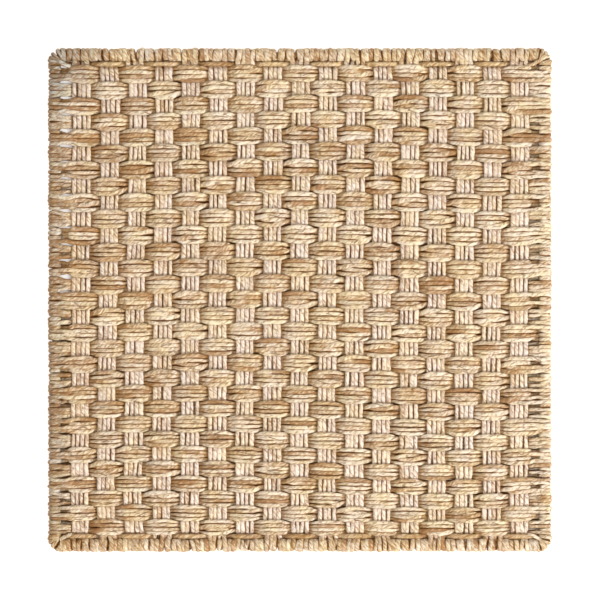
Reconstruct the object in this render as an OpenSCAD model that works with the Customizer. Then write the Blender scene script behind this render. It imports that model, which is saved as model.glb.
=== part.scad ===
// Square woven seat pad, laid flat.
// Groups of straight warp strands run front to back. Rows of weft strands run side to side and pass
// over one warp group and under the next. A whipped edge cord closes the pad on all four sides, and a
// single locking strand packs the last gap at the front and back edges.
// Frame: +X to the right, +Y to the back edge, +Z up out of the sitting face.
// Origin: centre of the underside. All sizes are in millimetres.

/* [Pad] */
// Overall width, side to side
pad_w = 400; // [330:1:480]
// Overall depth, front to back
pad_d = 400; // [330:1:480]

/* [Edge] */
// Diameter of the edge cord inside the binding
cord_d = 4.6; // [3:0.1:6]
// Thickness of the binding strand wound round the edge cord
binding_t = 3.3; // [2.6:0.1:4]
// Radius left on the inside of a corner
corner_in_r = 1; // [0.5:0.1:3]
// Depth pressed flat on the upper and lower side of the binding
press_flat = 0.3; // [0.1:0.05:0.6]

/* [Weave] */
// Number of warp groups across the width
warp_groups = 17; // [9:1:18]
// Number of weft rows from back to front
weft_rows = 30; // [16:1:31]
// How far the rows halfway down sit nearer the front than even spacing would put them
row_drift = 7; // [0:0.5:9]
// Strands side by side in a warp group or a weft row
strands = 4; // [2:1:5]
// Diameter of a warp strand
warp_strand_d = 3.45; // [2.8:0.05:4.2]
// Thickness of a weft strand, measured through the pad
weft_strand_t = 3; // [2.4:0.05:3.6]

/* [Clearances] */
// Gap between strands that lie side by side
strand_gap = 0.1; // [0.05:0.05:0.4]
// Gap between a weft strand and the warp strand it bends round
crossing_gap = 0.15; // [0.1:0.05:0.3]
// Gap between the end of a strand and the binding
end_gap = 0.1; // [0.05:0.05:0.5]
// Gap between the edge cord and the binding round it
cord_gap = 0.05; // [0.02:0.01:0.2]

/* [Hidden] */
round_fn = 48;
cut_extra = 1;

// Edge: the border is the edge cord with its binding
bore_d = cord_d + 2 * cord_gap;
border_d = bore_d + 2 * binding_t;
bend_r = border_d / 2 + corner_in_r;
edge_x = (pad_w - border_d) / 2;
edge_y = (pad_d - border_d) / 2;
corner_x = edge_x - bend_r;
corner_y = edge_y - bend_r;

// Opening inside the border, which the weave fills
inner_w = pad_w - 2 * border_d;
inner_d = pad_d - 2 * border_d;

// Warp: equal gaps stand between the groups and beside the first and the last
warp_strand_pitch = warp_strand_d + strand_gap;
warp_group_w = strands * warp_strand_pitch - strand_gap;
warp_gap = (inner_w - warp_groups * warp_group_w) / (warp_groups + 1);
warp_pitch = warp_group_w + warp_gap;

// Weft: the rows lie close together, with one locking strand before the first and after the last
strand_count = weft_rows * strands + 2;
even_pitch = inner_d / strand_count;

// Weft path: it runs level across a group and slants to the next one. Its middle line keeps the
// distance ride_r from the outermost strands of both groups.
last_strand = (warp_group_w - warp_strand_d) / 2;
ride_r = warp_strand_d / 2 + crossing_gap + weft_strand_t / 2;
slant = asin(2 * ride_r / (warp_pitch - 2 * last_strand));

// Height of the middle of the pad: it lies on the binding or on the weave, whichever is thicker
mid_z = max(border_d / 2 - press_flat, ride_r + weft_strand_t / 2);

function two_digits(n) = n < 10 ? str("0", n) : str(n);
function warp_name(k) = str("warp_", two_digits(k + 1));
function weft_name(r) = str("weft_", two_digits(r + 1));
function warp_x(k) = (k - (warp_groups - 1) / 2) * warp_pitch;
function strand_offset(i) = (i - (strands - 1) / 2) * warp_strand_pitch;

// The rows are beaten closer together towards the front edge. t runs from 0 at the back to 1.
function drift(t) = row_drift * (sin(180 * t) - sin(360 * t) / 3);

// Back edge of the room for weft strand j, counted from the back locking strand as 0
function strand_edge(j) = inner_d / 2 - j * even_pitch - drift(j / strand_count);
function strand_y(j) = (strand_edge(j) + strand_edge(j + 1)) / 2;
function strand_w(j) = strand_edge(j) - strand_edge(j + 1) - strand_gap;

// 1 where weft row r passes over warp group k, -1 where it passes under. Rows count from the back.
function over(k, r) = (k + r) % 2 == 0 ? 1 : -1;

SIDES = ["left", "right", "back", "front"];
CORNERS = ["back_left", "back_right", "front_left", "front_right"];

// The two points where one face of a weft strand turns level over or under warp group k. face is 1
// for the upper face and -1 for the lower one. Each point is the mitre between level and slanted.
function level_run(k, r, face, slant_in, slant_out) =
    let (
        side = over(k, r),
        reach = ride_r + side * face * weft_strand_t / 2
    ) [
        [warp_x(k) - last_strand - reach * tan(slant_in / 2), side * reach],
        [warp_x(k) + last_strand + reach * tan(slant_out / 2), side * reach]
    ];

// One face of a weft strand from its left end to its right end
function weft_face(r, face, end_x, end_slant) =
    let (
        end_z = face * weft_strand_t / 2 / cos(end_slant),
        last = warp_groups - 1
    ) concat(
        [[-end_x, end_z]],
        [for (k = [0:last])
            each level_run(k, r, face, k == 0 ? end_slant : slant, k == last ? end_slant : slant)],
        [[end_x, end_z]]
    );

function reversed(points) = [for (i = [len(points) - 1:-1:0]) points[i]];

// Weft strand j, which follows row r and ends short of the binding by trim
module weft_strand(j, r, trim) {
    end_x = inner_w / 2 - trim;
    end_slant = asin(ride_r / (end_x - warp_x(warp_groups - 1) - last_strand));
    translate([0, strand_y(j), mid_z])
        rotate([90, 0, 0])
            linear_extrude(height = strand_w(j), center = true)
                polygon(concat(
                    weft_face(r, 1, end_x, end_slant),
                    reversed(weft_face(r, -1, end_x, end_slant))
                ));
}

module weft(r) {
    color("burlywood")
        for (i = [0:strands - 1])
            weft_strand(1 + r * strands + i, r, end_gap);
}

// A locking strand lies beside the inside curve of two corners, so it ends before they begin
module locking_strand(j, r) {
    color("tan")
        weft_strand(j, r, corner_in_r + end_gap);
}

module warp(k) {
    color("wheat")
        for (i = [0:strands - 1])
            translate([warp_x(k) + strand_offset(i), 0, mid_z])
                rotate([90, 0, 0])
                    cylinder(d = warp_strand_d, h = inner_d - 2 * end_gap, center = true, $fn = round_fn);
}

// A straight round bar that runs along X, and the same along Y
module bar_x(d, length) {
    rotate([0, 90, 0])
        cylinder(d = d, h = length, center = true, $fn = round_fn);
}

module bar_y(d, length) {
    rotate([90, 0, 0])
        cylinder(d = d, h = length, center = true, $fn = round_fn);
}

// A quarter bend round the back right corner, centred on that corner's own centre
module bend_bar(d) {
    rotate_extrude(angle = 90, $fn = round_fn)
        translate([bend_r, 0])
            circle(d = d, $fn = round_fn);
}

// Places a back right corner at each of the four corners by its signs
module at_corner(sx, sy) {
    translate([sx * corner_x, sy * corner_y, mid_z])
        mirror([sx < 0 ? 1 : 0, 0, 0])
            mirror([0, sy < 0 ? 1 : 0, 0])
                children();
}

module edge_cord() {
    color("peru")
        union() {
            for (s = [-1, 1]) {
                translate([0, s * edge_y, mid_z]) bar_x(cord_d, 2 * corner_x);
                translate([s * edge_x, 0, mid_z]) bar_y(cord_d, 2 * corner_y);
            }
            for (sx = [-1, 1], sy = [-1, 1]) at_corner(sx, sy) bend_bar(cord_d);
        }
}

// Keeps what lies between the two pressed faces of the binding
module press(length, width) {
    intersection() {
        children();
        cube([length, width, border_d - 2 * press_flat], center = true);
    }
}

module binding_x(s) {
    color("burlywood")
        translate([0, s * edge_y, mid_z])
            press(2 * corner_x, border_d + cut_extra)
                difference() {
                    bar_x(border_d, 2 * corner_x);
                    bar_x(bore_d, 2 * corner_x + cut_extra);
                }
}

module binding_y(s) {
    color("burlywood")
        translate([s * edge_x, 0, mid_z])
            press(border_d + cut_extra, 2 * corner_y)
                difference() {
                    bar_y(border_d, 2 * corner_y);
                    bar_y(bore_d, 2 * corner_y + cut_extra);
                }
}

module corner_binding(sx, sy) {
    corner_box = 2 * (bend_r + border_d);
    color("burlywood")
        at_corner(sx, sy)
            press(corner_box, corner_box)
                rotate_extrude(angle = 90, $fn = round_fn)
                    translate([bend_r, 0])
                        difference() {
                            circle(d = border_d, $fn = round_fn);
                            circle(d = bore_d, $fn = round_fn);
                        }
}

for (k = [0:warp_groups - 1])
    warp(k);
for (r = [0:weft_rows - 1])
    weft(r);
locking_strand(0, -1);  // locking_strand_back
locking_strand(strand_count - 1, weft_rows);  // locking_strand_front
edge_cord();
binding_y(-1);  // binding_left
binding_y(1);  // binding_right
binding_x(1);  // binding_back
binding_x(-1);  // binding_front
corner_binding(-1, 1);  // corner_binding_back_left
corner_binding(1, 1);  // corner_binding_back_right
corner_binding(-1, -1);  // corner_binding_front_left
corner_binding(1, -1);  // corner_binding_front_right
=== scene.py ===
# %% [markdown]
# # A woven seat pad
# The pad is one layer of basket weave, made of twisted dried leaf. Groups of four straight strands,
# the warp, run front to back. Rows of four strands, the weft, run side to side and pass over one warp
# group and under the next. Both kinds turn round an edge cord at their ends, and those turns are the
# border. A flat picture of a weave would look wrong from the side, so every strand is modelled.

# %% Load the CAD frame
import math

import bmesh
import bpy
import numpy as np
from mathutils import Matrix, Vector


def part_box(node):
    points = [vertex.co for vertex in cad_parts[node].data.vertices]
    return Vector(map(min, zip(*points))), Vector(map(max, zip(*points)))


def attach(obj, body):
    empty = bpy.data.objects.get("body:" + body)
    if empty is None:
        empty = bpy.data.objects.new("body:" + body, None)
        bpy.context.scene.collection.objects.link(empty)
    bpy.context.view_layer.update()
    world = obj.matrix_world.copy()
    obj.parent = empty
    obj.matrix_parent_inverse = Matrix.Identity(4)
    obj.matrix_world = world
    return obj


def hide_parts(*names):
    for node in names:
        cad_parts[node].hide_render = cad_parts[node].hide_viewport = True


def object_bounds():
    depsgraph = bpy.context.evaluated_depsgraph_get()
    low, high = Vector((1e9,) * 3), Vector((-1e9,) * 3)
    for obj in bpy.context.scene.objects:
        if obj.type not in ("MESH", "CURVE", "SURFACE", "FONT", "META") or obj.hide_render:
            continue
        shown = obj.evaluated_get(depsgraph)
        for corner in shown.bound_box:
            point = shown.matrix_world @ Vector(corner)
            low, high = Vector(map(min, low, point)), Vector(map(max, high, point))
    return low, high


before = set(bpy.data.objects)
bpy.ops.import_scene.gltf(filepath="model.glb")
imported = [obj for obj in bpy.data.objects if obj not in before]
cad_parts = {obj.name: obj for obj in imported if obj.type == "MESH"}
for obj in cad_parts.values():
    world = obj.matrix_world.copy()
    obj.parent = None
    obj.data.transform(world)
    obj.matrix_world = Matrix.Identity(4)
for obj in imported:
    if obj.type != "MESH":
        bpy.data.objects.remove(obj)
cad_low, cad_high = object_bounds()
print("CAD nodes:", len(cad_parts), "box:", cad_low, cad_high)

# %% [markdown]
# ## Camera
# The pad is seen from straight above, as on a copy stand. A long lens high above it keeps the sides of
# the border from showing, as a close lens would. The pad fills a little over four fifths of the frame.

# %% Camera straight above the pad
VIEW_WIDTH = 0.4755
CAMERA_HEIGHT = 4.0


def make_camera():
    data = bpy.data.cameras.new("camera")
    data.lens = data.sensor_width * (CAMERA_HEIGHT - cad_high.z) / VIEW_WIDTH
    camera = bpy.data.objects.new("camera", data)
    camera.location = (0, 0, CAMERA_HEIGHT)
    bpy.context.scene.collection.objects.link(camera)
    bpy.context.scene.camera = camera
    return camera


camera = make_camera()
print("lens:", round(camera.data.lens), "mm")

# %% [markdown]
# ## Sizes from the frame
# Every place and size below comes from the boxes of the CAD nodes, so the strands land where the solids
# are. Lengths are in metres.

# %% Measure the warp groups and the weft rows
STRANDS = 4
MM = 0.001


def numbered(prefix):
    return sorted(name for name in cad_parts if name.startswith(prefix))


def middle(node, axis):
    low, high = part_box(node)
    return (low[axis] + high[axis]) / 2


def extent(node, axis):
    low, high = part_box(node)
    return high[axis] - low[axis]


warp_nodes, weft_nodes = numbered("warp_"), numbered("weft_")
warp_x = np.array([middle(node, 0) for node in warp_nodes])
warp_d = extent(warp_nodes[0], 2)
warp_strand_pitch = (extent(warp_nodes[0], 0) - warp_d) / (STRANDS - 1)
warp_pitch = warp_x[1] - warp_x[0]
weft_y = np.array([middle(node, 1) for node in weft_nodes])
weft_room = np.array([extent(node, 1) for node in weft_nodes])
lock_y = {"back": middle("locking_strand_back", 1), "front": middle("locking_strand_front", 1)}
lock_w = extent("locking_strand_back", 1)
print("warp groups:", len(warp_x), "every", round(warp_pitch / MM, 2), "mm; weft rows:", len(weft_y))

# %% Measure the border
mid_z = middle("edge_cord", 2)
cord_r = extent("edge_cord", 2) / 2
border_r = extent("binding_left", 0) / 2
cord_x, cord_y = middle("binding_right", 0), middle("binding_back", 1)
inner_x, inner_y = cord_x - border_r, cord_y - border_r
corner_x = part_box("corner_binding_back_right")[0].x
corner_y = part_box("corner_binding_back_right")[0].y
bend_r = cord_x - corner_x
binding_t = border_r - cord_r
wrap_r = cord_r + binding_t / 2
print("border:", round(2 * border_r / MM, 1), "mm over a cord of", round(2 * cord_r / MM, 1), "mm")

# %% [markdown]
# ## Hand-made unevenness
# Nothing on the real pad is straight. Each strand wanders beside its neighbours, and its thickness
# changes as the leaf in it does. Plain random numbers at every point would look like noise, so they are
# drawn only every few millimetres, and a Catmull-Rom curve runs smoothly through them. The generator is
# seeded, so the pad comes out the same every time.

# %% Smooth random curves
rng = np.random.default_rng(528)


def wander(distance, step):
    """Smooth random values from about -1 to 1 along a strand, with a new one every step."""
    reach = (distance - distance[0]) / step + 1
    knots = rng.uniform(-1, 1, int(reach[-1]) + 3)
    i = reach.astype(int)
    f = reach - i
    before, here, after = knots[i - 1], knots[i], knots[i + 1]
    later = knots[np.minimum(i + 2, len(knots) - 1)]
    bend = 2 * before - 5 * here + 4 * after - later
    return here + 0.5 * f * (after - before + f * (bend + f * (3 * (here - after) + later - before)))


def drift(distance, size, step):
    """A smooth random curve of a given size, such as a strand's sideways wander."""
    return size * wander(distance, step)


print("random numbers come from", type(rng.bit_generator).__name__)

# %% [markdown]
# ## The pull of the weave
# The whole weave is also pulled a little out of square: the warp near the left side leans most, and long
# waves sway the rest. One function of place moves warp and weft alike, so they still meet where they
# cross. It dies away at the border, which the stiff edge cord keeps straight.

# %% How far the weave is pulled at a place
WAVES, WAVE_RATES = 6, (8, 34)
PULL_WAVES = [
    (rng.uniform(*WAVE_RATES), rng.uniform(0, math.tau), rng.uniform(0, math.tau)) for _ in range(WAVES)]
LEAN_X, LEAN_SPREAD, LEAN = -0.148, 0.040, 3.2 * MM
LEAN_EVERYWHERE = 0.8 * MM
SWAY_X, SWAY_Y = 0.35 * MM, 0.75 * MM
HOLD_X, HOLD_Y = 8, 10


def pull(x, y):
    """How far the weave is pulled out of place at x, y, as a shift along x and along y."""
    hold = np.clip(1 - (x / inner_x) ** HOLD_X, 0, 1) * np.clip(1 - (y / inner_y) ** HOLD_Y, 0, 1)
    lean = (LEAN * np.exp(-((x - LEAN_X) / LEAN_SPREAD) ** 2) + LEAN_EVERYWHERE) * y / inner_y
    sway_x, sway_y = 0, 0
    for number, (rate, angle, phase) in enumerate(PULL_WAVES):
        wave = np.sin(rate * (x * math.cos(angle) + y * math.sin(angle)) + phase)
        if number % 2:
            sway_x = sway_x + wave
        else:
            sway_y = sway_y + wave
    return hold * (lean + SWAY_X * sway_x), hold * SWAY_Y * sway_y


print("pull towards the back left:", [round(float(v) / MM, 2) for v in pull(-0.15, 0.1)], "mm")

# %% [markdown]
# ## One strand
# A strand is a long tube. One way is a curve with a bevel; here the tube is spun once from a circle as a
# straight mesh, and then each ring is laid along the strand's own path. That keeps the rings even, and
# it lets each ring have its own width and height.

# %% A straight tube, made once for each number of rings
SIDES = 12
tubes = {}


def straight_tube(rings, sides=SIDES):
    """A tube along X with one ring at each whole number, as a mesh, with its rings and angles."""
    if (rings, sides) not in tubes:
        bm = bmesh.new()
        bmesh.ops.create_circle(bm, segments=sides, radius=1, matrix=Matrix.Rotation(math.pi / 2, 4, "Y"))
        bmesh.ops.spin(
            bm, geom=bm.edges[:], cent=(0, 0, 0), axis=(1, 0, 0), dvec=(1, 0, 0), angle=0, steps=rings - 1)
        bmesh.ops.holes_fill(bm, edges=[edge for edge in bm.edges if edge.is_boundary], sides=0)
        bmesh.ops.recalc_face_normals(bm, faces=bm.faces)
        mesh = bpy.data.meshes.new("straight_tube")
        bm.to_mesh(mesh)
        bm.free()
        points = np.empty(len(mesh.vertices) * 3)
        mesh.vertices.foreach_get("co", points)
        points = points.reshape(-1, 3)
        around = np.arctan2(points[:, 2], points[:, 1])
        tubes[rings, sides] = mesh, np.rint(points[:, 0]).astype(int), around
    return tubes[rings, sides]


print("a tube of 10 rings has", len(straight_tube(10)[0].polygons), "faces")

# %% [markdown]
# ## Pressed flat, and coloured by place
# A strand that wanders or rides over its neighbour could stand out of the pad, which is really pressed
# flat. A plain limit on the height would leave many tops in one plane, and where two strands overlap
# there they render as black patches. So heights near the limit are squeezed softly and keep their order.
# Leaf is also coloured by place. It is browner towards the left side, and its outer rim there is darkened
# further with painted shade, as that side faces away from the key light. It is greyer at the back left
# corner. All of it is worked out from where a point ends up.

# %% Squeezed heights, browner and greyer leaf by place, and painted shade on the left rim
PRESS = 0.35 * MM
LEFT_BROWN, LEFT_BROWN_REACH = 0.2, 90 * MM
# The rim's extra brown is painted shade on the left side's outer face, away from the key light.
RIM_SHADE, RIM_SHADE_REACH = 0.8, 1.6 * MM
WEATHERED_REACH = 36 * MM


def pressed(z):
    """Heights squeezed softly near the pad's top and bottom, so that a lifted strand stays in its box."""
    above = (z - cad_high.z + PRESS).clip(0)
    below = (cad_low.z + PRESS - z).clip(0)
    return z - above + PRESS * np.tanh(above / PRESS) + below - PRESS * np.tanh(below / PRESS)


def left_brown_and_rim_shade(places):
    """Browner leaf towards the left side, and painted shade on the outer rim there, which faces away from
    the key light.
    """
    inward = (places[:, 0] - cad_low.x).clip(0)
    return LEFT_BROWN * np.exp(-inward / LEFT_BROWN_REACH) + RIM_SHADE * np.exp(-inward / RIM_SHADE_REACH)


def weathered(places):
    """Greyer leaf at the back left corner, from 0 far away to 1 at the corner."""
    away = np.hypot(places[:, 0] - cad_low.x, places[:, 1] - cad_high.y)
    return np.exp(-(away / WEATHERED_REACH) ** 2)


too_high = cad_high.z + 0.5 * MM
print("pressed from", round(too_high / MM, 2), "to", round(pressed(np.array([too_high]))[0] / MM, 2), "mm")

# %% [markdown]
# ## Laying the tube
# Each ring of the tube moves to its place on the path and takes the strand's width and height there.
# The mesh also keeps what the leaf material needs at each point. The strand attribute says how far along
# the strand it is and which way round, unwound by the twist. The leaf attribute holds how brown and how
# grey it is, and how far round to the flank, where strands press together and the material paints shade. A
# flank with no neighbour gets less painted shade. A piece is several laid strands in one mesh.

# %% Lay a tube along a path
# How much less painted shade a flank with no neighbour gets.
OPEN_FLANK = 0.22


def unit(vectors):
    return vectors / np.linalg.norm(vectors, axis=1)[:, None]


def lay(strand):
    """Puts every point of a strand's tube in place, and returns the places and the two attributes."""
    mesh, ring, angle = straight_tube(len(strand["path"]), strand["sides"])
    side = unit(strand["side"] - strand["tangent"] * (strand["side"] * strand["tangent"]).sum(1)[:, None])
    up = np.cross(strand["tangent"], side)
    fold = angle + strand["turn"][ring]
    oval = 1 + strand["oval"] * np.cos(2 * fold)
    wide = strand["wide"][ring] * oval * np.cos(angle)
    high = strand["high"][ring] * oval * np.sin(angle)
    places = strand["path"][ring] + wide[:, None] * side[ring] + high[:, None] * up[ring]
    places[:, 2] = pressed(places[:, 2])
    marks = np.stack([strand["along"][ring], np.cos(fold), np.sin(fold)], axis=1)
    # Add the left side's browner tone and the painted shade on its outer rim.
    tone = np.clip(strand["tone"][ring] + left_brown_and_rim_shade(places), 0, 1)
    grey = np.clip(strand["grey"][ring] + weathered(places), 0, 1)
    # How far round to the flank, where the material paints shade between strands; less where no neighbour
    # presses.
    open_side = np.clip(strand["outward"][ring] * np.sign(np.cos(angle)), 0, 1)
    flank = np.abs(np.cos(angle)) * (1 - OPEN_FLANK * open_side)
    return mesh, places, marks, np.stack([tone, grey, flank], axis=1)


def bundle(name, strands, material, slot, *nodes):
    """One piece made of several strands, which stands for the CAD nodes named."""
    bm = bmesh.new()
    laid = [lay(strand) for strand in strands]
    for tube, *_ in laid:
        bm.from_mesh(tube)
    mesh = bpy.data.meshes.new(name)
    bm.to_mesh(mesh)
    bm.free()
    mesh.vertices.foreach_set("co", np.concatenate([places for _, places, _, _ in laid]).ravel())
    for attribute, number in (("strand", 2), ("leaf", 3)):
        layer = mesh.attributes.new(attribute, "FLOAT_VECTOR", "POINT")
        layer.data.foreach_set("vector", np.concatenate([row[number] for row in laid]).ravel())
    # A tube's last two faces are its ends, which stay flat-shaded.
    smooth = [np.arange(len(tube.polygons)) < len(tube.polygons) - 2 for tube, *_ in laid]
    mesh.polygons.foreach_set("use_smooth", np.concatenate(smooth))
    mesh.materials.append(material)
    mesh.update()
    piece = bpy.data.objects.new(name, mesh)
    bpy.context.scene.collection.objects.link(piece)
    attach(piece, "root")
    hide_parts(*nodes)
    return piece


# %% [markdown]
# ## A strand's path
# A path starts as a rough line of points: the wave through the weave, then a straight run to the edge
# cord, then a turn round it. Rounding the line and spacing its points evenly gives the path of a real,
# springy strand.

# %% Space and round a rough line
GRAIN = 0.25 * MM


def travelled(points):
    """How far along a line of points each one is."""
    return np.concatenate([[0], np.cumsum(np.linalg.norm(np.diff(points, axis=0), axis=1))])


def spaced(points, count):
    """count points at even distances along a line of points."""
    reach = travelled(points)
    at = np.linspace(0, reach[-1], count)
    return np.stack([np.interp(at, reach, column) for column in points.T], axis=1)


def rounded(points, radius):
    """The line with its corners rounded over about that distance."""
    length = np.linalg.norm(np.diff(points, axis=0), axis=1).sum()
    fine = spaced(points, int(length / GRAIN))
    half = max(1, int(radius / GRAIN))
    window = np.hanning(2 * half + 1)
    window = window / window.sum()
    start, end = 2 * fine[0] - fine[half:0:-1], 2 * fine[-1] - fine[-2:-half - 2:-1]
    padded = np.concatenate([start, fine, end])
    return np.stack([np.convolve(column, window, "valid") for column in padded.T], axis=1)


square_corner = np.array([[0, 0], [20 * MM, 0], [20 * MM, 20 * MM]])
cut_off = np.hypot(*(rounded(square_corner, 2 * MM) - square_corner[1]).T).min()
print("a square corner rounded over 2 mm passes", round(cut_off / MM, 2), "mm inside it")

# %% [markdown]
# ## The wave and the turn
# Two shapes make up every path. Through the weave the strand is a wave, level at each crossing. At the
# border it winds round the edge cord, and its tail grips the cord more tightly, so that the tail hides
# under the strand's own start. The angles of the turn are in degrees, from the side away from the pad.

# %% The wave through the weave, and the turn round the edge cord
TURN_START, TURN_END, TURN_END_SPREAD = 112, -190, (-15, 10)
TURN_POINTS = 40
TAIL, TAIL_TUCK = 50, 1.2 * MM
SNUG = 0.5  # in millimetres


def weave_wave(at, centres, signs, level):
    """From -1 to 1: level near each crossing, and an even slope between two crossings."""
    knots = np.stack([centres - level, centres + level], axis=1).ravel()
    return np.sin(np.interp(at, knots, np.repeat(signs, 2)) * math.pi / 2)


def turn_line(reach, sense):
    """The turn round the edge cord, as distance from the middle and height. sense is 1 over it first."""
    last = TURN_END + rng.uniform(*TURN_END_SPREAD)
    angle = np.radians(np.linspace(TURN_START, last, TURN_POINTS))
    snug = wrap_r + rng.uniform(-SNUG, SNUG) * MM
    grip = np.interp(angle, np.radians([last, last + TAIL]), [wrap_r - TAIL_TUCK, snug])
    return np.stack([reach + grip * np.cos(angle), sense * grip * np.sin(angle)], axis=1)


halfway = weave_wave(0.5, np.array([0, 1]), [1, -1], 0.2)
print("halfway between an over and an under the wave is at", round(float(halfway), 3))

# %% [markdown]
# ## A strand's looks
# Each strand gets its own tone, which drifts from cream to brown along it, a little greyer leaf here and
# there, a twist, and a changing width. These are numbers for each ring, which the mesh keeps and the
# material reads, so one material can serve many strands that all differ. Each strand also starts
# somewhere else in the pattern of the leaf, so no two are alike.

# %% Dress a path as a strand
# The length of one full twist
TWIST = {"warp": 13 * MM, "weft": 18 * MM, "wrap": 15 * MM, "cord": 18 * MM}
WIDTH_STEP = 16 * MM
LUMPS, LUMP_STEP = 0.05, 3.5 * MM
TWIST_DRIFT = (1.2, 30 * MM)
PATTERN_START = 3


def dress(path, side, wide, high, kind, tone, grey, oval=0.05, uneven=0.09):
    """A strand along a path. wide and high are its full sizes; side points across it."""
    run = travelled(path)
    width = 1 + uneven * wander(run, WIDTH_STEP) + LUMPS * wander(run, LUMP_STEP)
    return {
        "path": path,
        "tangent": unit(np.gradient(path, axis=0)),
        "side": np.broadcast_to(np.asarray(side, float), path.shape),
        "wide": np.broadcast_to(wide / 2, len(path)) * width,
        "high": np.broadcast_to(high / 2, len(path)) * (1 + uneven / 2 * wander(run, WIDTH_STEP)),
        "along": run + rng.uniform(0, PATTERN_START),
        "oval": oval,
        "turn": math.tau * run / TWIST[kind] + drift(run, *TWIST_DRIFT) + rng.uniform(0, math.tau),
        "tone": tone(run),
        "grey": grey(run),
        "outward": np.zeros(len(path)),
        "sides": SIDES}


print("a weft strand twists", round((cad_high.x - cad_low.x) / TWIST["weft"]), "times across the pad")

# %% How brown and how grey the leaf is along a strand
PATCH_STEP, PATCH_GAIN, PATCH_FROM = 26 * MM, 2.2, 1.1
TONE_STEP = 40 * MM
GREY_OWN, GREY_DRIFT = (-0.6, 1), (0.7, 45 * MM)


def leaf_tone(base, spread, patches):
    """How brown a strand is along its length: a base, a slow drift, and now and then a browner patch."""
    own = base + spread * rng.normal()

    def tone(run):
        patch = np.clip(wander(run, PATCH_STEP) * PATCH_GAIN - PATCH_FROM, 0, 1)
        return np.clip(own + spread * wander(run, TONE_STEP) + patches * patch, 0, 1)
    return tone


def leaf_grey(amount):
    """How grey a strand is along its length. Many strands aren't grey at all."""
    own = rng.uniform(*GREY_OWN)

    def grey(run):
        return np.clip(amount * (own + drift(run, *GREY_DRIFT)), 0, 1)
    return grey


def even(value):
    """The same value all along a strand."""
    return lambda run: np.full(len(run), value)


print("a tone wanders over", round(TONE_STEP / MM), "mm, and browner patches", round(PATCH_STEP / MM), "mm")

# %% [markdown]
# ## Cutting a strand at the border
# A strand is one path, but the border is a piece of its own, so each strand is cut where it meets the
# border. Two ends that only touch would show a seam, so each part runs on for two rings inside the
# other, a little slimmer. Every turn has the same number of rings, and so has every run between.

# %% Cut a strand in three, with a lap at each cut
TURN_RINGS = 22
BODY_RINGS = 290
LAP, LAP_SLIMMING = 2, 0.08


def in_sections(line, inner):
    """The line as spaced points, with TURN_RINGS past inner at each end and BODY_RINGS between."""
    inside = np.flatnonzero(np.abs(line[:, 0]) < inner)
    first, last = inside[0], inside[-1]
    left = spaced(line[:first + 1], TURN_RINGS)
    body = spaced(line[first:last + 1], BODY_RINGS)
    right = spaced(line[last:], TURN_RINGS)
    return np.concatenate([left, body[1:-1], right])


def cut(strand, low, high):
    """The rings from low to high of a strand, and a slimmer lap inside the next part at each cut."""
    rings = np.arange(max(low - LAP, 0), min(high + LAP, len(strand["path"]) - 1) + 1)
    beyond = np.maximum(low - rings, rings - high).clip(0)
    part = {key: value[rings] if isinstance(value, np.ndarray) else value for key, value in strand.items()}
    part["wide"] = part["wide"] * (1 - LAP_SLIMMING * beyond)
    part["high"] = part["high"] * (1 - LAP_SLIMMING * beyond)
    return part


def cut_in_three(strand):
    """The turn at the start, the part in the weave, and the turn at the end."""
    start, end = TURN_RINGS - 1, len(strand["path"]) - TURN_RINGS
    return cut(strand, 0, start), cut(strand, start, end), cut(strand, end, len(strand["path"]) - 1)


print("rings in a whole strand:", 2 * TURN_RINGS + BODY_RINGS - 2)

# %% [markdown]
# ## Leaf materials
# Twisted leaf shows three things close up: fine fibres that wind round the strand, one or two dark
# folds that wind with them, and a colour that drifts from cream to brown. They are built as two node
# groups, which every leaf material uses with its own values. A small helper keeps the node code short.

# %% Helpers for node trees
def new_group(name, inputs, outputs):
    group = bpy.data.node_groups.new(name, "ShaderNodeTree")
    for socket, kind, value in inputs:
        made = group.interface.new_socket(socket, in_out="INPUT", socket_type=kind)
        made.default_value = value
    for socket, kind in outputs:
        group.interface.new_socket(socket, in_out="OUTPUT", socket_type=kind)
    return group


class Tree:
    """Adds nodes to a tree and links them. A value given for a socket is a number or another socket."""

    def __init__(self, tree):
        self.tree = tree

    def add(self, kind, settings=None, **sockets):
        """A new node. A socket is given by its name, or as i0, i1 by its number."""
        node = self.tree.nodes.new(kind)
        for key, value in (settings or {}).items():
            setattr(node, key, value)
        for key, value in sockets.items():
            by_number = key[0] == "i" and key[1:].isdigit()
            self.set(node, int(key[1:]) if by_number else key.replace("_", " "), value)
        return node

    def set(self, node, key, value):
        if isinstance(value, bpy.types.NodeSocket):
            self.tree.links.new(value, node.inputs[key])
        else:
            node.inputs[key].default_value = value

    def math(self, operation, *values):
        node = self.tree.nodes.new("ShaderNodeMath")
        node.operation = operation
        for number, value in enumerate(values):
            self.set(node, number, value)
        return node.outputs[0]

    def ramp(self, value, low, high, to_low=0.0, to_high=1.0):
        """A smooth step from to_low to to_high as the value goes from low to high."""
        node = self.add("ShaderNodeMapRange", {"interpolation_type": "SMOOTHSTEP"})
        for number, given in enumerate((value, low, high, to_low, to_high)):
            self.set(node, number, given)
        return node.outputs[0]

    def noise(self, where, scale, detail):
        return self.add("ShaderNodeTexNoise", Vector=where, Scale=scale, Detail=detail).outputs[0]

    def mix(self, share, first, second, blend="MIX"):
        node = self.add("ShaderNodeMix", {"data_type": "RGBA", "blend_type": blend})
        for number, given in ((0, share), (6, first), (7, second)):
            self.set(node, number, given)
        return node.outputs[2]


# %% [markdown]
# ### Winding fibres
# The strand attribute already turns with the twist: x is the distance along, and y and z are the
# direction around. Noise that is stretched along x therefore becomes fibres that wind round the strand.
# A fold is the thin line where y crosses zero, swayed by a coarser noise and shown only in some places.
# Short dark specks are a third noise. The group puts out the streaks, the folds and a height for bump.

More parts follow.
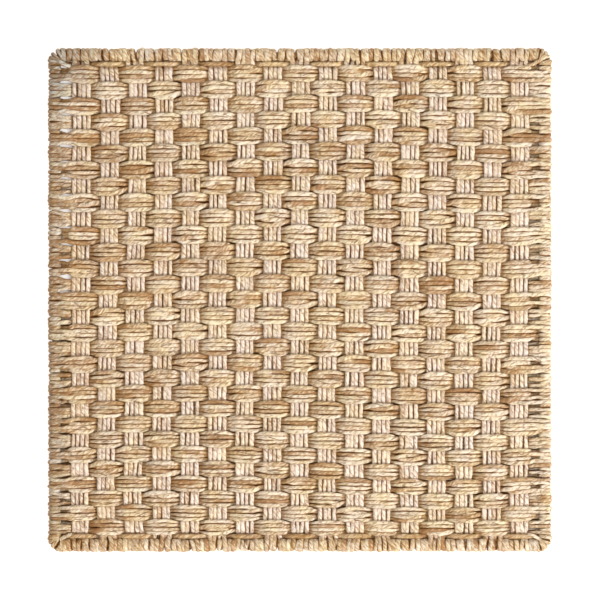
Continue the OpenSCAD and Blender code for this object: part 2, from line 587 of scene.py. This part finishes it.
# %% The winding fibres, as a node group
FIBRE_STRETCH = (110.0, 1.0, 1.0)
SPECK_STRETCH = (240.0, 1.0, 1.0)
STREAK_SHOWN, STREAK_HEIGHT = (0.34, 0.66), 0.5
FOLD_SCALE, FOLD_SWAY, FOLD_WIDTH, FOLD_SHOWN = 1.3, 1.6, 0.17, (0.38, 0.56)
SPECK_SCALE, SPECK_DARKNESS, SPECK_SHOWN = 1.7, 0.75, (0.59, 0.65)


def fibres_group():
    group = new_group(
        "winding_fibres",
        [("Fineness", "NodeSocketFloat", 3.0), ("Fold depth", "NodeSocketFloat", 1.0)],
        [("Streak", "NodeSocketFloat"), ("Fold", "NodeSocketFloat"), ("Height", "NodeSocketFloat")])
    t = Tree(group)
    given = t.add("NodeGroupInput").outputs
    strand = t.add("ShaderNodeAttribute", {"attribute_name": "strand"}).outputs["Vector"]
    drawn = t.add("ShaderNodeVectorMath", {"operation": "MULTIPLY"}, i0=strand, i1=FIBRE_STRETCH).outputs[0]
    dots = t.add("ShaderNodeVectorMath", {"operation": "MULTIPLY"}, i0=strand, i1=SPECK_STRETCH).outputs[0]
    streak = t.ramp(t.noise(drawn, given["Fineness"], 4.0), *STREAK_SHOWN)
    coarse = t.noise(drawn, FOLD_SCALE, 2.0)
    speck = t.math("MULTIPLY", t.ramp(t.noise(dots, SPECK_SCALE, 1.0), *SPECK_SHOWN), SPECK_DARKNESS)
    around = t.add("ShaderNodeSeparateXYZ", i0=strand).outputs["Y"]
    sway = t.math("MULTIPLY", t.math("SUBTRACT", coarse, 0.5), FOLD_SWAY)
    line = t.ramp(t.math("ABSOLUTE", t.math("ADD", around, sway)), 0.0, FOLD_WIDTH, 1.0, 0.0)
    fold = t.math("MAXIMUM", t.math("MULTIPLY", line, t.ramp(coarse, *FOLD_SHOWN)), speck)
    dip = t.math("MULTIPLY", fold, given["Fold depth"])
    height = t.math("SUBTRACT", t.math("MULTIPLY", streak, STREAK_HEIGHT), dip)
    t.add("NodeGroupOutput", i0=streak, i1=fold, i2=height)
    return group


FIBRES = fibres_group()
print("nodes in the fibre group:", len(FIBRES.nodes))

# %% [markdown]
# ### Colour of the leaf
# The colour runs from pale leaf through tan to brown by the strand's own tone and its streaks. Soft clouds,
# which lie over all strands alike, make some leaf yellower, and the strand's own grey makes some greyer.
# Last comes painted shade in brown: deep inside the pad, and on the flanks where strands press together.
# The folds and specks are browned too.

# %% The leaf's colour, as a node group
STREAK_TONE = 0.75
TAN_BETWEEN, BROWN_BETWEEN = (0.1, 0.6), (0.55, 1.0)
CLOUD_SCALE, CLOUD_SHOWN = 70.0, (0.4, 0.62)
SHADED_FROM, SHADED_TO = 0.2 * MM, 1.8 * MM
FLANK_BETWEEN = (0.66, 0.86)
FOLD_DARKNESS = 0.92
YELLOWED = (1.0, 0.98, 0.85, 1)
GREYED = (0.63, 0.75, 0.94, 1)
# Painted shade: the brown deep inside the pad, and the brown on the flanks where strands press together.
DEPTH_SHADE_BROWN = (0.50, 0.26, 0.07, 1)
FLANK_SHADE_BROWN = (0.31, 0.12, 0.015, 1)
FOLD_BROWN = (0.32, 0.14, 0.02, 1)


def colour_group():
    group = new_group(
        "leaf_colour",
        [("Streak", "NodeSocketFloat", 0.5), ("Fold", "NodeSocketFloat", 0.0),
         ("Pale", "NodeSocketColor", (0.7, 0.6, 0.45, 1)), ("Tan", "NodeSocketColor", (0.5, 0.35, 0.2, 1)),
         ("Brown", "NodeSocketColor", (0.25, 0.12, 0.05, 1)), ("Flank", "NodeSocketFloat", 0.5),
         ("Depth", "NodeSocketFloat", 0.5)],
        [("Color", "NodeSocketColor")])
    t = Tree(group)
    given = t.add("NodeGroupInput").outputs
    leaf = t.add("ShaderNodeAttribute", {"attribute_name": "leaf"}).outputs["Vector"]
    leaf = t.add("ShaderNodeSeparateXYZ", i0=leaf).outputs
    streak = t.math("MULTIPLY", t.math("SUBTRACT", given["Streak"], 0.5), STREAK_TONE)
    tone = t.math("ADD", leaf["X"], streak)
    base = t.mix(t.ramp(tone, *TAN_BETWEEN), given["Pale"], given["Tan"])
    base = t.mix(t.ramp(tone, *BROWN_BETWEEN), base, given["Brown"])
    spot = t.add("ShaderNodeTexCoord").outputs["Object"]
    clouds = t.noise(spot, CLOUD_SCALE, 2.0)
    base = t.mix(t.ramp(clouds, *CLOUD_SHOWN), base, YELLOWED, "MULTIPLY")
    base = t.mix(leaf["Y"], base, GREYED, "MULTIPLY")
    height = t.add("ShaderNodeSeparateXYZ", i0=spot).outputs["Z"]
    # Painted shade, strongest near the middle of the pad's thickness, deep in the weave.
    deep = t.ramp(t.math("ABSOLUTE", t.math("SUBTRACT", height, mid_z)), SHADED_TO, SHADED_FROM)
    # Painted shade on the flanks, where strands press together.
    flank = t.ramp(leaf["Z"], *FLANK_BETWEEN)
    base = t.mix(t.math("MULTIPLY", deep, given["Depth"]), base, DEPTH_SHADE_BROWN)
    base = t.mix(t.math("MULTIPLY", flank, given["Flank"]), base, FLANK_SHADE_BROWN)
    base = t.mix(t.math("MULTIPLY", given["Fold"], FOLD_DARKNESS), base, FOLD_BROWN)
    t.add("NodeGroupOutput", i0=base)
    return group


COLOUR = colour_group()
print("nodes in the colour group:", len(COLOUR.nodes))

# %% [markdown]
# ### The five leaf materials
# Dried leaf is matt, and a little smoother on its pale fibres. The warp is the palest leaf, and the edge
# cord inside the border is the darkest. The locking strands are a little browner than the rows.

# %% Make the leaf materials
FINENESS, FOLD_DEPTH = 3.0, 1.0
BUMP_DEPTH = 0.4 * MM
ROUGH_GROOVE, ROUGH_FIBRE = 0.72, 0.5
SPECULAR = 0.4


# flank and depth set how strongly a material takes the painted shade on its flanks and deep in the weave.
def leaf_material(name, pale, tan, brown, flank, depth):
    material = bpy.data.materials.new(name)
    material.use_nodes = True
    material.node_tree.nodes.clear()
    t = Tree(material.node_tree)
    fibres = t.add(
        "ShaderNodeGroup", {"node_tree": FIBRES}, Fineness=FINENESS, Fold_depth=FOLD_DEPTH).outputs
    colour = t.add(
        "ShaderNodeGroup", {"node_tree": COLOUR}, Pale=(*pale, 1), Tan=(*tan, 1), Brown=(*brown, 1),
        Flank=flank, Depth=depth, Streak=fibres["Streak"], Fold=fibres["Fold"])
    bump = t.add("ShaderNodeBump", Height=fibres["Height"], Strength=1.0, Distance=BUMP_DEPTH)
    roughness = t.ramp(fibres["Streak"], 0.0, 1.0, ROUGH_GROOVE, ROUGH_FIBRE)
    shader = t.add(
        "ShaderNodeBsdfPrincipled", Base_Color=colour.outputs[0], Normal=bump.outputs[0],
        Roughness=roughness, Specular_IOR_Level=SPECULAR)
    t.add("ShaderNodeOutputMaterial", Surface=shader.outputs[0])
    return material


warp_leaf = leaf_material(
    "warp_leaf", (0.90, 0.785, 0.68), (0.72, 0.555, 0.41), (0.42, 0.24, 0.12), flank=0.9, depth=0.5)
weft_leaf = leaf_material(
    "weft_leaf", (0.87, 0.75, 0.595), (0.655, 0.495, 0.32), (0.37, 0.18, 0.07), flank=0.95, depth=0.6)
lock_leaf = leaf_material(
    "locking_leaf", (0.78, 0.62, 0.42), (0.56, 0.38, 0.20), (0.33, 0.15, 0.05), flank=0.5, depth=0.3)
wrap_leaf = leaf_material(
    "binding_leaf", (0.84, 0.725, 0.57), (0.63, 0.47, 0.30), (0.37, 0.18, 0.07), flank=0.95, depth=0.5)
cord_leaf = leaf_material(
    "edge_cord_leaf", (0.55, 0.40, 0.24), (0.40, 0.25, 0.12), (0.24, 0.11, 0.04), flank=0.3, depth=0.0)
print("materials:", [m.name for m in bpy.data.materials])

# %% [markdown]
# ## Weft rows
# A weft strand is a wave over and under the warp groups. Near its two ends it either rises over the edge
# cord and turns back under it, or dives under the cord and turns back over it. Where it has to change
# sides for that, it first hugs the outermost warp strand, as a tight strand does, so it doesn't cut
# through it.

# %% The rough line of a weft strand
WEFT_LEVEL = 4.6 * MM
WEFT_SWING = 3.3 * MM
WEFT_HIGH = 3.3 * MM
WEFT_ROUNDING = 1.8 * MM
WAVE_POINTS = 1200
HUG_ANGLES = (-75, -35, 5)


def over(group, row):
    """1 where a weft row passes over a warp group, and -1 where it passes under."""
    return 1 if (group + row) % 2 == 0 else -1


def mirrored(line):
    return line * np.array([-1, 1])


def weft_end(sign, sense):
    """From the last crossing to the end of the turn. A strand that changes sides hugs the last warp."""
    turn = turn_line(cord_x, sense)
    if sign == sense:
        return turn
    edge = warp_x[-1] + (STRANDS - 1) / 2 * warp_strand_pitch
    reach = (warp_d + WEFT_HIGH) / 2
    angle = np.radians(HUG_ANGLES)
    hug = np.stack([edge + reach * np.cos(angle), sense * reach * np.sin(angle)], axis=1)
    return np.concatenate([hug, turn])


def row_wave(row, swing):
    """Where a row is over (1) or under (-1) the warp groups, and its wave as x and height."""
    signs = np.array([over(group, row) for group in range(len(warp_x))])
    last = warp_x[-1] + WEFT_LEVEL
    x = np.linspace(-last, last, WAVE_POINTS)
    return signs, np.stack([x, swing * weave_wave(x, warp_x, signs, WEFT_LEVEL)], axis=1)


def weft_line(row, senses):
    """The line of a weft strand, as x and height above the middle of the pad."""
    signs, body = row_wave(row, WEFT_SWING)
    left = mirrored(weft_end(signs[0], senses[0]))[::-1]
    right = weft_end(signs[-1], senses[1])
    return rounded(np.concatenate([left, body, right]), WEFT_ROUNDING)


print("a weft strand swings", round(2 * WEFT_SWING / MM, 1), "mm from top to bottom")

# %% [markdown]
# ### Four strands side by side
# The four strands of a row lie in four lanes. Now and then two neighbours change places, as loose
# strands do, and one of them rides over. This is drawn once for a row, as the lane of each strand at
# each warp group, and a smooth step leads from one lane to the next.

# %% The lanes of a row
SWAP_CHANCE = 0.24
SWAP_LIFT = 0.7 * MM
SWAP_SPREAD = 0.35


def crossed_lanes():
    """Which lane each of the four strands of a row is in at each warp group, from -1.5 to 1.5."""
    lanes = np.empty((len(warp_x), STRANDS))
    order = np.arange(STRANDS)
    for group in range(len(warp_x)):
        if rng.random() < SWAP_CHANCE:
            first = rng.integers(STRANDS - 1)
            order[[first, first + 1]] = order[[first + 1, first]]
        lanes[group, order] = (STRANDS - 1) / 2 - np.arange(STRANDS)
    return lanes


def eased(at, knots, values):
    """Values at some places, with a smooth change between two knots, and how fast they change there."""
    i = np.clip(np.searchsorted(knots, at) - 1, 0, len(knots) - 2)
    f = np.clip((at - knots[i]) / (knots[i + 1] - knots[i]), 0, 1)
    rise = values[i + 1] - values[i]
    return values[i] + rise * f * f * (3 - 2 * f), rise * np.sin(f * math.pi)


print("changes of lane to expect in a row:", round(SWAP_CHANCE * len(warp_x), 1))

# %% [markdown]
# ### One weft strand
# A row spreads where it floats over a warp group, and is narrower where it dips under one or passes
# between two. Just inside the border its strands are drawn together, more at the left side and by a
# different amount in each row, which leaves small gaps between rows. The turns are browner and greyer
# at the left side and paler at the right.

# %% Weft strands and the turns at their ends
BULGE, PINCH = 0.13, 0.03
LOOSE_REACH = 6 * MM
# The chance that a strand goes over the cord, by whether its row starts over or under the warp
OVER_CORD = {1: 0.72, -1: 0.85}
SLACK_AT, SLACK_REACH = inner_x - 4 * MM, 8 * MM
GATHER_LEFT, GATHER_RIGHT, GATHER_BACK = (0.06, 0.30), (0, 0.12), 0.08
WEFT_DRIFT, END_DRIFT, HEIGHT_DRIFT = (0.33 * MM, 11 * MM), (0.6 * MM, 7 * MM), (0.3 * MM, 12 * MM)
WEFT_FILL, WEFT_FILL_LOOSE = 1.12, 0.04
WEFT_TONE, WEFT_GREY = (0.31, 0.19, 0.55), 0.15
LEFT_TONE, RIGHT_TONE, LEFT_GREY = 0.09, -0.12, 0.45
LEFT_TURNS, RIGHT_TURNS = [], []
gather_left = rng.uniform(*GATHER_LEFT, len(weft_y)) + GATHER_BACK * (weft_y > 0)
gather_right = rng.uniform(*GATHER_RIGHT, len(weft_y))


def weft_strand(row, lane):
    """One strand of a row in the weave. Its two turns are kept for the border."""
    chance = OVER_CORD[over(0, row)]
    senses = rng.choice([1, -1], 2, p=[chance, 1 - chance])
    line = in_sections(weft_line(row, senses), inner_x)
    x, run = line[:, 0], travelled(line)
    room = weft_room[row] / STRANDS
    place, move = eased(x, warp_x, lane)
    loose = np.clip((inner_x - np.abs(x)) / LOOSE_REACH, 0, 1)
    rise = line[:, 1] / WEFT_SWING
    bulge = 1 + loose * (BULGE * rise - PINCH * (1 - rise ** 2).clip(0))
    slack = 1 - np.clip(np.abs(np.abs(x) - SLACK_AT) / SLACK_REACH, 0, 1)
    drawn_in = 1 - slack * np.where(x < 0, gather_left[row], gather_right[row])
    y = weft_y[row] + place * room * bulge * drawn_in + drift(run, *WEFT_DRIFT)
    y = y + (1 - loose) * drift(run, *END_DRIFT)
    z = mid_z + line[:, 1] + drift(run, *HEIGHT_DRIFT) + SWAP_LIFT * move
    shift_x, shift_y = pull(x, y)
    path = np.stack([x + shift_x, y + shift_y, z], axis=1)
    wide = room * (WEFT_FILL - WEFT_FILL_LOOSE * loose) * bulge * (1 + SWAP_SPREAD * np.abs(move))
    strand = dress(path, (0, 1, 0), wide, WEFT_HIGH, "weft", leaf_tone(*WEFT_TONE), leaf_grey(WEFT_GREY),
                   oval=0.07, uneven=0.15)
    strand["outward"] = np.clip(np.abs(place) - 0.5, 0, 1) * np.sign(place)
    side_tone = np.where(x < 0, LEFT_TONE, RIGHT_TONE)
    strand["tone"] = np.clip(strand["tone"] + side_tone * (1 - loose), 0, 1)
    strand["grey"] = np.clip(strand["grey"] + LEFT_GREY * (1 - loose) * (x < 0), 0, 1)
    left, body, right = cut_in_three(strand)
    LEFT_TURNS.append(left)
    RIGHT_TURNS.append(right)
    return body


# %% [markdown]
# ### Stray fibres
# Twisted leaf sheds fine fibres, which lie slantwise across the strands that they have come from. Hair
# curves would be lost in the export, so each fibre is a thin tube of very few faces, laid like a strand.

# %% Stray fibres, and the rows
FIBRE_RINGS, FIBRE_SIDES, FIBRES_PER_ROW = 8, 4, 16
FIBRE_TOP = 0.75
FIBRE_REACH = (3, 8)  # in rings of the strand
FIBRE_START, FIBRE_CROSSING = 1.2, [-3.2, -1.6, 1.6, 3.2]  # in millimetres
FIBRE_GAP, FIBRE_ARCH = 0.15 * MM, 0.35 * MM
FIBRE_THICKNESS, FIBRE_TIP = (0.45, 0.75), 0.2  # in millimetres
FIBRE_TONES, FIBRE_SHARES = [0.0, 0.95], [0.35, 0.65]


def stray_fibre(strand):
    """A thin fibre that starts on top of a strand and crosses to a neighbour."""
    path = strand["path"]
    start = rng.choice(np.flatnonzero(path[:, 2] > mid_z + FIBRE_TOP * WEFT_SWING))
    rings = np.clip(start + np.linspace(0, rng.uniform(*FIBRE_REACH), FIBRE_RINGS), 0, len(path) - 1)
    path = np.stack([np.interp(rings, np.arange(len(path)), column) for column in path.T], axis=1)
    across = rng.uniform(-FIBRE_START, FIBRE_START, 2) + [0, rng.choice(FIBRE_CROSSING)]
    path[:, 1] += np.linspace(*across, FIBRE_RINGS) * MM
    path[:, 2] += WEFT_HIGH / 2 + FIBRE_GAP + FIBRE_ARCH * np.sin(np.linspace(0, math.pi, FIBRE_RINGS))
    thick = np.linspace(rng.uniform(*FIBRE_THICKNESS), FIBRE_TIP, FIBRE_RINGS) * MM
    tone = rng.choice(FIBRE_TONES, p=FIBRE_SHARES)
    fibre = dress(path, (0, 1, 0), thick, thick, "weft", even(tone), even(0.0))
    fibre["sides"] = FIBRE_SIDES
    return fibre


for row, node in enumerate(weft_nodes):
    lanes = crossed_lanes()
    strands = [weft_strand(row, lanes[:, number]) for number in range(STRANDS)]
    fibres = [stray_fibre(strands[rng.integers(STRANDS)]) for _ in range(FIBRES_PER_ROW)]
    bundle(node.replace("weft", "weft_row"), strands + fibres, weft_leaf, "weft_leaf", node)
print("weft strands:", len(LEFT_TURNS), "stray fibres:", FIBRES_PER_ROW * len(weft_nodes))

# %% [markdown]
# ## Locking strands
# One more strand fills the last gap at the back and front edges. It weaves like a row of its own and
# ends beside the corners, so it needs no turn. It is wider than its CAD solid, so that it closes the gap
# between the last row and the border.

# %% Locking strands
LOCK_SWING = WEFT_SWING - 0.3 * MM
LOCK_ROUNDING = 2.2 * MM
LOCK_DRIFT = (0.15 * MM, 12 * MM)
LOCK_FILL = 1.3
LOCK_TONE, LOCK_GREY = (0.35, 0.15, 0.4), 0.15


def locking_strand(edge, row):
    end = extent("locking_strand_" + edge, 0) / 2
    body = row_wave(row, LOCK_SWING)[1]
    line = spaced(rounded(np.concatenate([[[-end, 0]], body, [[end, 0]]]), LOCK_ROUNDING), BODY_RINGS)
    y = lock_y[edge] + drift(line[:, 0], *LOCK_DRIFT)
    path = np.stack([line[:, 0], y, mid_z + line[:, 1]], axis=1)
    return dress(
        path, (0, 1, 0), lock_w * LOCK_FILL, WEFT_HIGH, "weft", leaf_tone(*LOCK_TONE), leaf_grey(LOCK_GREY))


for edge, row in (("back", -1), ("front", len(weft_y))):
    node = "locking_strand_" + edge
    bundle("locking_" + edge, [locking_strand(edge, row)], lock_leaf, "locking_leaf", node)
print("locking strands:", sorted(lock_y))

# %% [markdown]
# ## Warp groups
# The warp runs nearly straight, and the tight weft bends round it. It still rises a little between two
# rows and dips under each row that passes over it. Its ends turn round the edge cord at the back and
# front, and there the strands stand a little further apart.

# %% Warp strands and the turns at their ends
WARP_LEVEL, WARP_SWING = 3.2 * MM, 1.0 * MM
WARP_ROUNDING = 2.0 * MM
WARP_OVER_CORD = 0.7
TURNS_PER_GROUP = 6
SPREAD_REACH = 9 * MM
WARP_SLANT, WARP_DRIFT, WARP_HEIGHT_DRIFT = (1.5 * MM, 9 * MM), (0.45 * MM, 15 * MM), (0.12 * MM, 12 * MM)
WARP_FILL, WARP_FILL_SPREAD, WARP_HIGH = 1.08, 0.16, 0.97
WARP_TONE, WARP_GREY, WARP_END_TONE = (0.16, 0.12, 0.25), 0.15, 0.3
BACK_TURNS, FRONT_TURNS = [], []
turn_pitch = warp_pitch / TURNS_PER_GROUP
crossings = np.concatenate([[lock_y["back"]], weft_y, [lock_y["front"]]])[::-1]


def warp_line(group, senses):
    """The rough line of a warp strand, as y and height, from the front edge to the back edge."""
    rows = np.arange(len(weft_y), -2, -1)
    signs = np.array([-over(group, row) for row in rows])
    y = np.linspace(crossings[0], crossings[-1], WAVE_POINTS)
    body = np.stack([y, WARP_SWING * weave_wave(y, crossings, signs, WARP_LEVEL)], axis=1)
    front = mirrored(turn_line(cord_y, senses[0]))[::-1]
    back = turn_line(cord_y, senses[1])
    return rounded(np.concatenate([front, body, back]), WARP_ROUNDING)


def warp_strand(group, number):
    """One strand of a warp group in the weave. Its two turns are kept for the border."""
    senses = rng.choice([1, -1], 2, p=[WARP_OVER_CORD, 1 - WARP_OVER_CORD])
    line = in_sections(warp_line(group, senses), inner_y)
    y, run = line[:, 0], travelled(line)
    spread = np.clip((np.abs(y) - inner_y + SPREAD_REACH) / SPREAD_REACH, 0, 1)
    pitch = warp_strand_pitch + (turn_pitch - warp_strand_pitch) * spread
    place = number - (STRANDS - 1) / 2
    slant = spread * drift(run, *WARP_SLANT)
    x = warp_x[group] + place * pitch + drift(run, *WARP_DRIFT) + slant
    z = mid_z + line[:, 1] + drift(run, *WARP_HEIGHT_DRIFT)
    shift_x, shift_y = pull(x, y)
    path = np.stack([x + shift_x, y + shift_y, z], axis=1)
    wide = warp_d * (WARP_FILL + WARP_FILL_SPREAD * spread)
    strand = dress(path, (-1, 0, 0), wide, warp_d * WARP_HIGH, "warp", leaf_tone(*WARP_TONE),
                   leaf_grey(WARP_GREY), oval=0.05, uneven=0.2)
    strand["outward"] = np.full(len(path), float((number == 0) - (number == STRANDS - 1)))
    strand["tone"] = np.clip(strand["tone"] + WARP_END_TONE * spread, 0, 1)
    front, body, back = cut_in_three(strand)
    FRONT_TURNS.append(front)
    BACK_TURNS.append(back)
    return body


for group, node in enumerate(warp_nodes):
    strands = [warp_strand(group, number) for number in range(STRANDS)]
    bundle(node.replace("warp", "warp_group"), strands, warp_leaf, "warp_leaf", node)
print("warp strands:", len(BACK_TURNS))

# %% [markdown]
# ## Border
# The border is the turns of all those strands round the edge cord. Between two warp groups there is
# room for two more turns, which are short lengths of strand of their own. A turn is laid in a plane that
# stands across the cord, leans a little, and tucks its two tails in at the inner side.

# %% Single turns round the edge cord
TURN_HALF, TURN_SPREAD = 195, 8
WHOLE_TURN_RINGS = TURN_RINGS + 6
TAIL_FROM, TAIL_LENGTH, TAIL_GRIP = 2.6, 0.7, 1.0 * MM
SLIDE = (0.9 * MM, 8 * MM)
TURN_LEAN = 0.5  # in millimetres
WRAP_TONE, WRAP_GREY = (0.43, 0.18, 0.4), 0.2
GAP_FILL, EDGE_FILL = 1.3, 1.1
CORNER_LAP = 1 * MM


def whole_turn(x, y, out_x, out_y, width, puff=0):
    """A turn round the cord at x, y. out_x, out_y points away from the pad, across the cord."""
    first = TURN_HALF + rng.uniform(-TURN_SPREAD, TURN_SPREAD)
    last = -TURN_HALF + rng.uniform(-TURN_SPREAD, TURN_SPREAD)
    angle = np.radians(np.linspace(first, last, WHOLE_TURN_RINGS))
    tail = np.clip((np.abs(angle) - TAIL_FROM) / TAIL_LENGTH, 0, 1)
    grip = wrap_r + puff * np.cos(angle / 2) - TAIL_GRIP * tail
    run = np.abs(angle - angle[0]) * wrap_r
    slide = drift(run, *SLIDE) + rng.normal(0, TURN_LEAN) * MM * np.sin(angle / 2)
    reach = grip * np.cos(angle)
    path = np.stack([
        x + reach * out_x - slide * out_y, y + reach * out_y + slide * out_x,
        mid_z + grip * np.sin(angle)], axis=1)
    return dress(path, (-out_y, out_x, 0), width, binding_t, "wrap", leaf_tone(*WRAP_TONE),
                 leaf_grey(WRAP_GREY), oval=0.07, uneven=0.13)


def gap_turns(side):
    """The turns in the gaps between warp groups, on the back (1) or front (-1) edge."""
    starts = np.concatenate([[warp_x[0] - warp_pitch], warp_x]) + (STRANDS / 2 + 0.5) * turn_pitch
    places = [start + step * turn_pitch for start in starts for step in (0, 1)]
    kept = [x for x in places if abs(x) < corner_x + CORNER_LAP]
    return [whole_turn(x, side * cord_y, 0, side, turn_pitch * GAP_FILL) for x in kept]


def edge_turns(side):
    """The turns beside the locking strands, on the right (1) or left (-1) edge."""
    return [whole_turn(side * cord_x, y, side, 0, EDGE_FILL * lock_w) for y in lock_y.values()]


print("turns to a warp group:", TURNS_PER_GROUP, "every", round(turn_pitch / MM, 2), "mm")

# %% [markdown]
# ### Corners
# At each corner a fan of turns leads from one side to the next. A fan's turns are narrow at the inner
# side, where they crowd together, and wide and a little puffed out at the outer side. Between the fan's
# inner ends and the first row there would be a hole, which the real maker closes by tucking a strand
# end in. So one more strand crosses the fan's inner ends and dives into the weave. Its line is given for
# one corner, in millimetres from the middle of the bend, and mirrored for the others.

# %% Corner fans and the tucked strand
FAN_TURNS = 5
FAN_WIDTHS = [1.4 * MM, 3.4 * MM]
FAN_PUFF = 0.6 * MM
TUCK_LINE = [(3.0, 2.2, 4.3), (0.0, 0.3, 4.4), (-3.8, -1.6, 3.6), (-6.2, -2.2, 1.0), (-7.2, -2.4, -2.0)]
TUCK_SHIFT = 0.5  # in millimetres, like the line
TUCK_ROUNDING, TUCK_WIDE = 1.5 * MM, 3.4 * MM
TUCK_TONE, TUCK_GREY = (0.35, 0.15, 0.4), 0.3


def corner_tuck(side_x, side_y):
    """The end of a turn at the corner, which crosses the fan's inner ends and dives into the weave."""
    rough = np.array(TUCK_LINE) * MM
    rough[:, :2] += rng.uniform(-TUCK_SHIFT, TUCK_SHIFT, 2) * MM
    line = spaced(rounded(rough, TUCK_ROUNDING), TURN_RINGS)
    path = line * (side_x, side_y, 1) + (side_x * corner_x, side_y * corner_y, mid_z)
    return dress(path, (0, 1, 0), TUCK_WIDE, binding_t, "wrap", leaf_tone(*TUCK_TONE),
                 leaf_grey(TUCK_GREY), uneven=0.13)


def corner_fan(side_x, side_y):
    """The turns of one corner, and the tucked strand."""
    outward = np.cos(np.linspace(-math.pi, math.pi, WHOLE_TURN_RINGS))
    width = np.interp(outward, [-1, 1], FAN_WIDTHS)
    fan = []
    for number in range(FAN_TURNS):
        angle = math.radians(90 * (number + 0.5) / FAN_TURNS)
        out_x, out_y = side_x * math.cos(angle), side_y * math.sin(angle)
        x, y = side_x * corner_x + bend_r * out_x, side_y * corner_y + bend_r * out_y
        fan.append(whole_turn(x, y, out_x, out_y, width, puff=FAN_PUFF))
    return fan + [corner_tuck(side_x, side_y)]


# %% The pieces of the border
for edge, side, turns in (("left", -1, LEFT_TURNS), ("right", 1, RIGHT_TURNS)):
    bundle(f"border_{edge}", turns + edge_turns(side), wrap_leaf, "binding_leaf", f"binding_{edge}")
for edge, side, turns in (("back", 1, BACK_TURNS), ("front", -1, FRONT_TURNS)):
    bundle(f"border_{edge}", turns + gap_turns(side), wrap_leaf, "binding_leaf", f"binding_{edge}")
for across, side_x in (("left", -1), ("right", 1)):
    for along, side_y in (("back", 1), ("front", -1)):
        corner = f"{along}_{across}"
        bundle(f"border_corner_{corner}", corner_fan(side_x, side_y), wrap_leaf, "binding_leaf",
               f"corner_binding_{corner}")

# %% [markdown]
# ## Edge cord
# The cord inside the border shows only through small gaps. It is one strand in a closed ring, whose
# ends lie in each other where the real cord is spliced.

# %% The edge cord
CORNER_POINTS = 12
SPLICE = 2 * MM
CORD_RINGS = 420
CORD_TONE, CORD_GREY = (0.5, 0.1, 0.3), 0.1


def cord_ring():
    arc = np.radians(np.linspace(0, 90, CORNER_POINTS))
    corner = np.stack([corner_x + bend_r * np.cos(arc), corner_y + bend_r * np.sin(arc)], axis=1)
    quarters = [corner, corner[::-1] * (-1, 1), corner * (-1, -1), corner[::-1] * (1, -1)]
    start = np.array([[cord_x, -SPLICE], [cord_x, 0]])
    flat = spaced(np.concatenate([start, *quarters, start + (0, SPLICE)]), CORD_RINGS)
    path = np.column_stack([flat, np.full(len(flat), mid_z)])
    wide = 2 * cord_r
    return dress(path, (0, 0, 1), wide, wide, "cord", leaf_tone(*CORD_TONE), leaf_grey(CORD_GREY))


cord = bundle("edge_cord_ring", [cord_ring()], cord_leaf, "edge_cord_leaf", "edge_cord")
print("edge cord:", len(cord.data.polygons), "faces")

# %% [markdown]
# ## Floor
# The pad lies on a plain white floor. Seen through the slits of the weave, a white floor would shine
# like a lamp under the pad, where a real one lies in deep shade. So the floor has a brown patch under
# the pad that gives no light, and it turns white from the border's inner edge outwards. Beside the back
# half of the left border the patch stops short by 13 mm, and white shows there through the small gaps.

# %% A white floor with a shaded patch under the pad
FLOOR_SIZE = 6
FLOOR_WHITE = (0.93, 0.93, 0.93, 1)
FLOOR_SHADE = (0.27, 0.13, 0.05, 1)
FLOOR_GLOW, FLOOR_ROUGH = 0.5, 0.9
BARE_WIDTH, BARE_FADE = 13 * MM, 20 * MM


def make_floor():
    bm = bmesh.new()
    bmesh.ops.create_grid(bm, x_segments=1, y_segments=1, size=FLOOR_SIZE)
    mesh = bpy.data.meshes.new("floor")
    bm.to_mesh(mesh)
    bm.free()
    material = bpy.data.materials.new("floor_white")
    material.use_nodes = True
    shader = material.node_tree.nodes["Principled BSDF"]
    shader.inputs["Roughness"].default_value = FLOOR_ROUGH
    shader.inputs["Emission Color"].default_value = (1, 1, 1, 1)
    t = Tree(material.node_tree)
    place = t.add("ShaderNodeSeparateXYZ", i0=t.add("ShaderNodeTexCoord").outputs["Object"]).outputs
    bare = t.ramp(place["Y"], -BARE_FADE, BARE_FADE, 0.0, BARE_WIDTH)
    sideways = t.math("MAXIMUM", place["X"], t.math("SUBTRACT", bare, place["X"]))
    away = t.math("MAXIMUM", sideways, t.math("ABSOLUTE", place["Y"]))
    t.set(shader, "Emission Strength", t.ramp(away, inner_x, cad_high.x, 0.0, FLOOR_GLOW))
    t.set(shader, "Base Color", t.mix(t.ramp(away, inner_x, cad_high.x), FLOOR_SHADE, FLOOR_WHITE))
    mesh.materials.append(material)
    floor = bpy.data.objects.new("floor", mesh)
    bpy.context.scene.collection.objects.link(floor)
    return floor


floor = make_floor()
print("floor:", round(floor.dimensions.x), "m wide")

# %% [markdown]
# ## Light
# Three soft lights: a key from the right and a little from the front, which shades the left slope of
# every float, a broad top light, and a weak, warm fill from the left. The world is a plain warm white,
# like the walls of a pale room. The Standard view transform keeps the floor white.

# %% Lights and world
WORLD_COLOUR, WORLD_STRENGTH = (1.0, 0.95, 0.87, 1), 0.57


def soft_light(name, place, size, power, colour=(1, 1, 1)):
    data = bpy.data.lights.new(name, "AREA")
    data.size, data.energy, data.color = size, power, colour
    light = bpy.data.objects.new(name, data)
    light.location = place
    light.rotation_mode = "QUATERNION"
    light.rotation_quaternion = (-Vector(place)).to_track_quat("-Z", "Y")
    bpy.context.scene.collection.objects.link(light)
    return light


soft_light("key", (1.7, -1.35, 1.56), size=0.57, power=55)
soft_light("top", (0.3, 0, 3.4), size=3.0, power=50)
soft_light("fill", (-2.0, 1.2, 1.6), size=1.6, power=5, colour=(1.0, 0.93, 0.84))
world = bpy.data.worlds.new("studio")
world.use_nodes = True
world.node_tree.nodes["Background"].inputs["Color"].default_value = WORLD_COLOUR
world.node_tree.nodes["Background"].inputs["Strength"].default_value = WORLD_STRENGTH
bpy.context.scene.world = world
bpy.context.scene.view_settings.view_transform = "Standard"
print("lights:", [light.name for light in bpy.data.lights])
